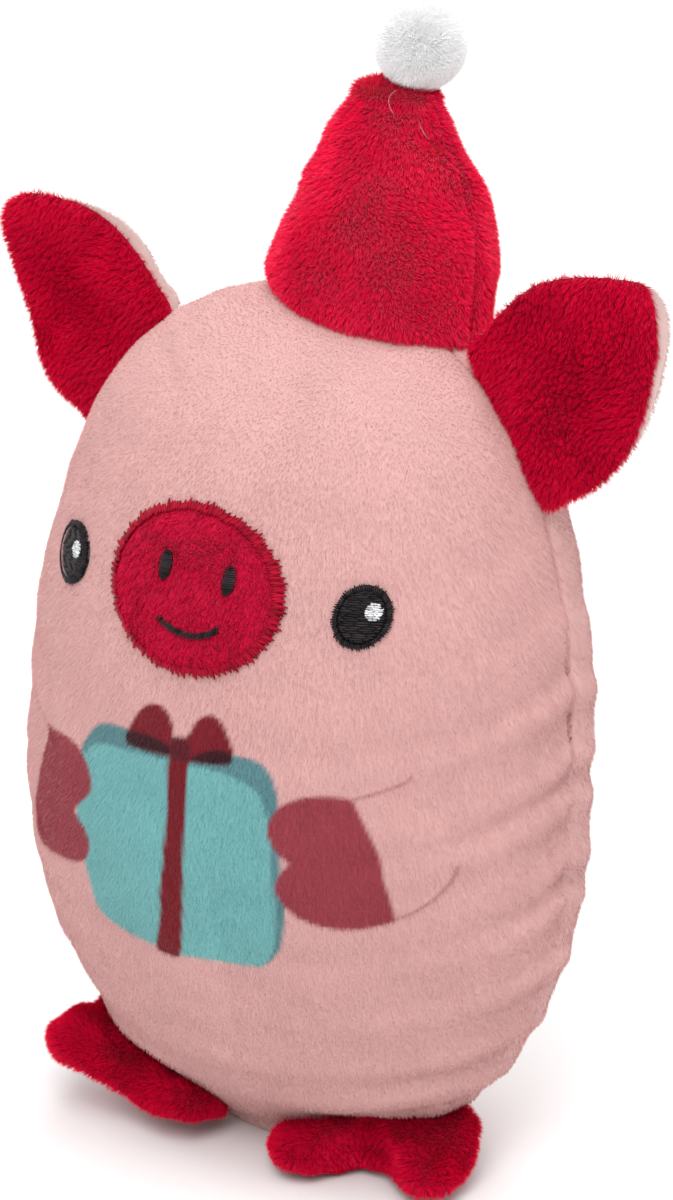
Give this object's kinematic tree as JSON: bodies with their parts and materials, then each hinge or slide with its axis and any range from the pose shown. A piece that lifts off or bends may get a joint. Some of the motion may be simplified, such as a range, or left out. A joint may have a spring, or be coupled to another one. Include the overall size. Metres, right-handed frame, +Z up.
{
  "type": "plush pig",
  "caption": "Stuffed plush pig standing upright: egg-shaped body, folding ears and feet, embroidered face, party hat with a swinging pompom.",
  "frame": {"origin": "on the flat that the toy stands on, below the middle of the belly", "axes": "+Z up, -Y the way the face looks, +X the pig's own left"},
  "size_m": [0.162, 0.0889, 0.2403],
  "materials": {
    "pink_cloth": "short-pile velboa, matt with a faint nap",
    "red_plush": "plush pile about 3 mm long, soft sheen",
    "white_fluff": "dense white tuft",
    "black_thread": "satin stitch, slight lustre",
    "white_thread": "satin stitch, slight lustre",
    "red_thread": "satin stitch, slight lustre",
    "pink_thread": "sewing thread",
    "wadding": "polyester fibre filling"
  },
  "bodies": {
    "torso": {"body_front_panel": "pink_cloth", "body_back_panel": "pink_cloth", "body_fill": "wadding", "closing_thread": "pink_thread", "hat_front_panel": "red_plush", "hat_back_panel": "red_plush", "hat_fill": "wadding", "snout_patch": "red_plush", "snout_border": "red_thread", "nostril_left": "black_thread", "nostril_right": "black_thread", "mouth": "black_thread", "eye_left": "black_thread", "eye_right": "black_thread", "eye_left_glint": "white_thread", "eye_right_glint": "white_thread"},
    "ear_left": {"ear_left_front": "red_plush", "ear_left_back": "pink_cloth"},
    "foot_left": {"foot_left_upper": "red_plush", "foot_left_sole": "red_plush", "foot_left_fill": "wadding"},
    "ear_right": {"ear_right_front": "red_plush", "ear_right_back": "pink_cloth"},
    "foot_right": {"foot_right_upper": "red_plush", "foot_right_sole": "red_plush", "foot_right_fill": "wadding"},
    "pompom_knot": {"pompom_knot": "white_thread"},
    "pompom": {"pompom": "white_fluff"}
  },
  "joints": [
    {"name": "ear_left_fold", "type": "hinge", "parent": "torso", "child": "ear_left", "pos_m": [0.04918, 0.00382, 0.16291], "axis": [0.5443, -0.0377, -0.8381], "range_deg": [-40, 70], "stiffness_Nm_per_rad": 0.02},
    {"name": "ear_right_fold", "type": "hinge", "parent": "torso", "child": "ear_right", "pos_m": [-0.04918, 0.00382, 0.16291], "axis": [0.5443, 0.0377, 0.8381], "range_deg": [-40, 70], "stiffness_Nm_per_rad": 0.02},
    {"name": "foot_left_fold", "type": "hinge", "parent": "torso", "child": "foot_left", "pos_m": [0.024, -0.003, 0.0045], "axis": [-0.933, -0.25, -0.2588], "range_deg": [-45, 12], "stiffness_Nm_per_rad": 0.03},
    {"name": "foot_right_fold", "type": "hinge", "parent": "torso", "child": "foot_right", "pos_m": [-0.024, -0.003, 0.0045], "axis": [-0.933, 0.25, 0.2588], "range_deg": [-45, 12], "stiffness_Nm_per_rad": 0.03},
    {"name": "pompom_nod", "type": "hinge", "parent": "torso", "child": "pompom_knot", "pos_m": [0.0144, 0.0144, 0.2134], "axis": [1, 0, 0], "range_deg": [-15, 15], "stiffness_Nm_per_rad": 0.004},
    {"name": "pompom_sway", "type": "hinge", "parent": "pompom_knot", "child": "pompom", "pos_m": [0.0144, 0.0144, 0.2134], "axis": [0, 1, 0], "range_deg": [-15, 15], "stiffness_Nm_per_rad": 0.004}
  ]
}
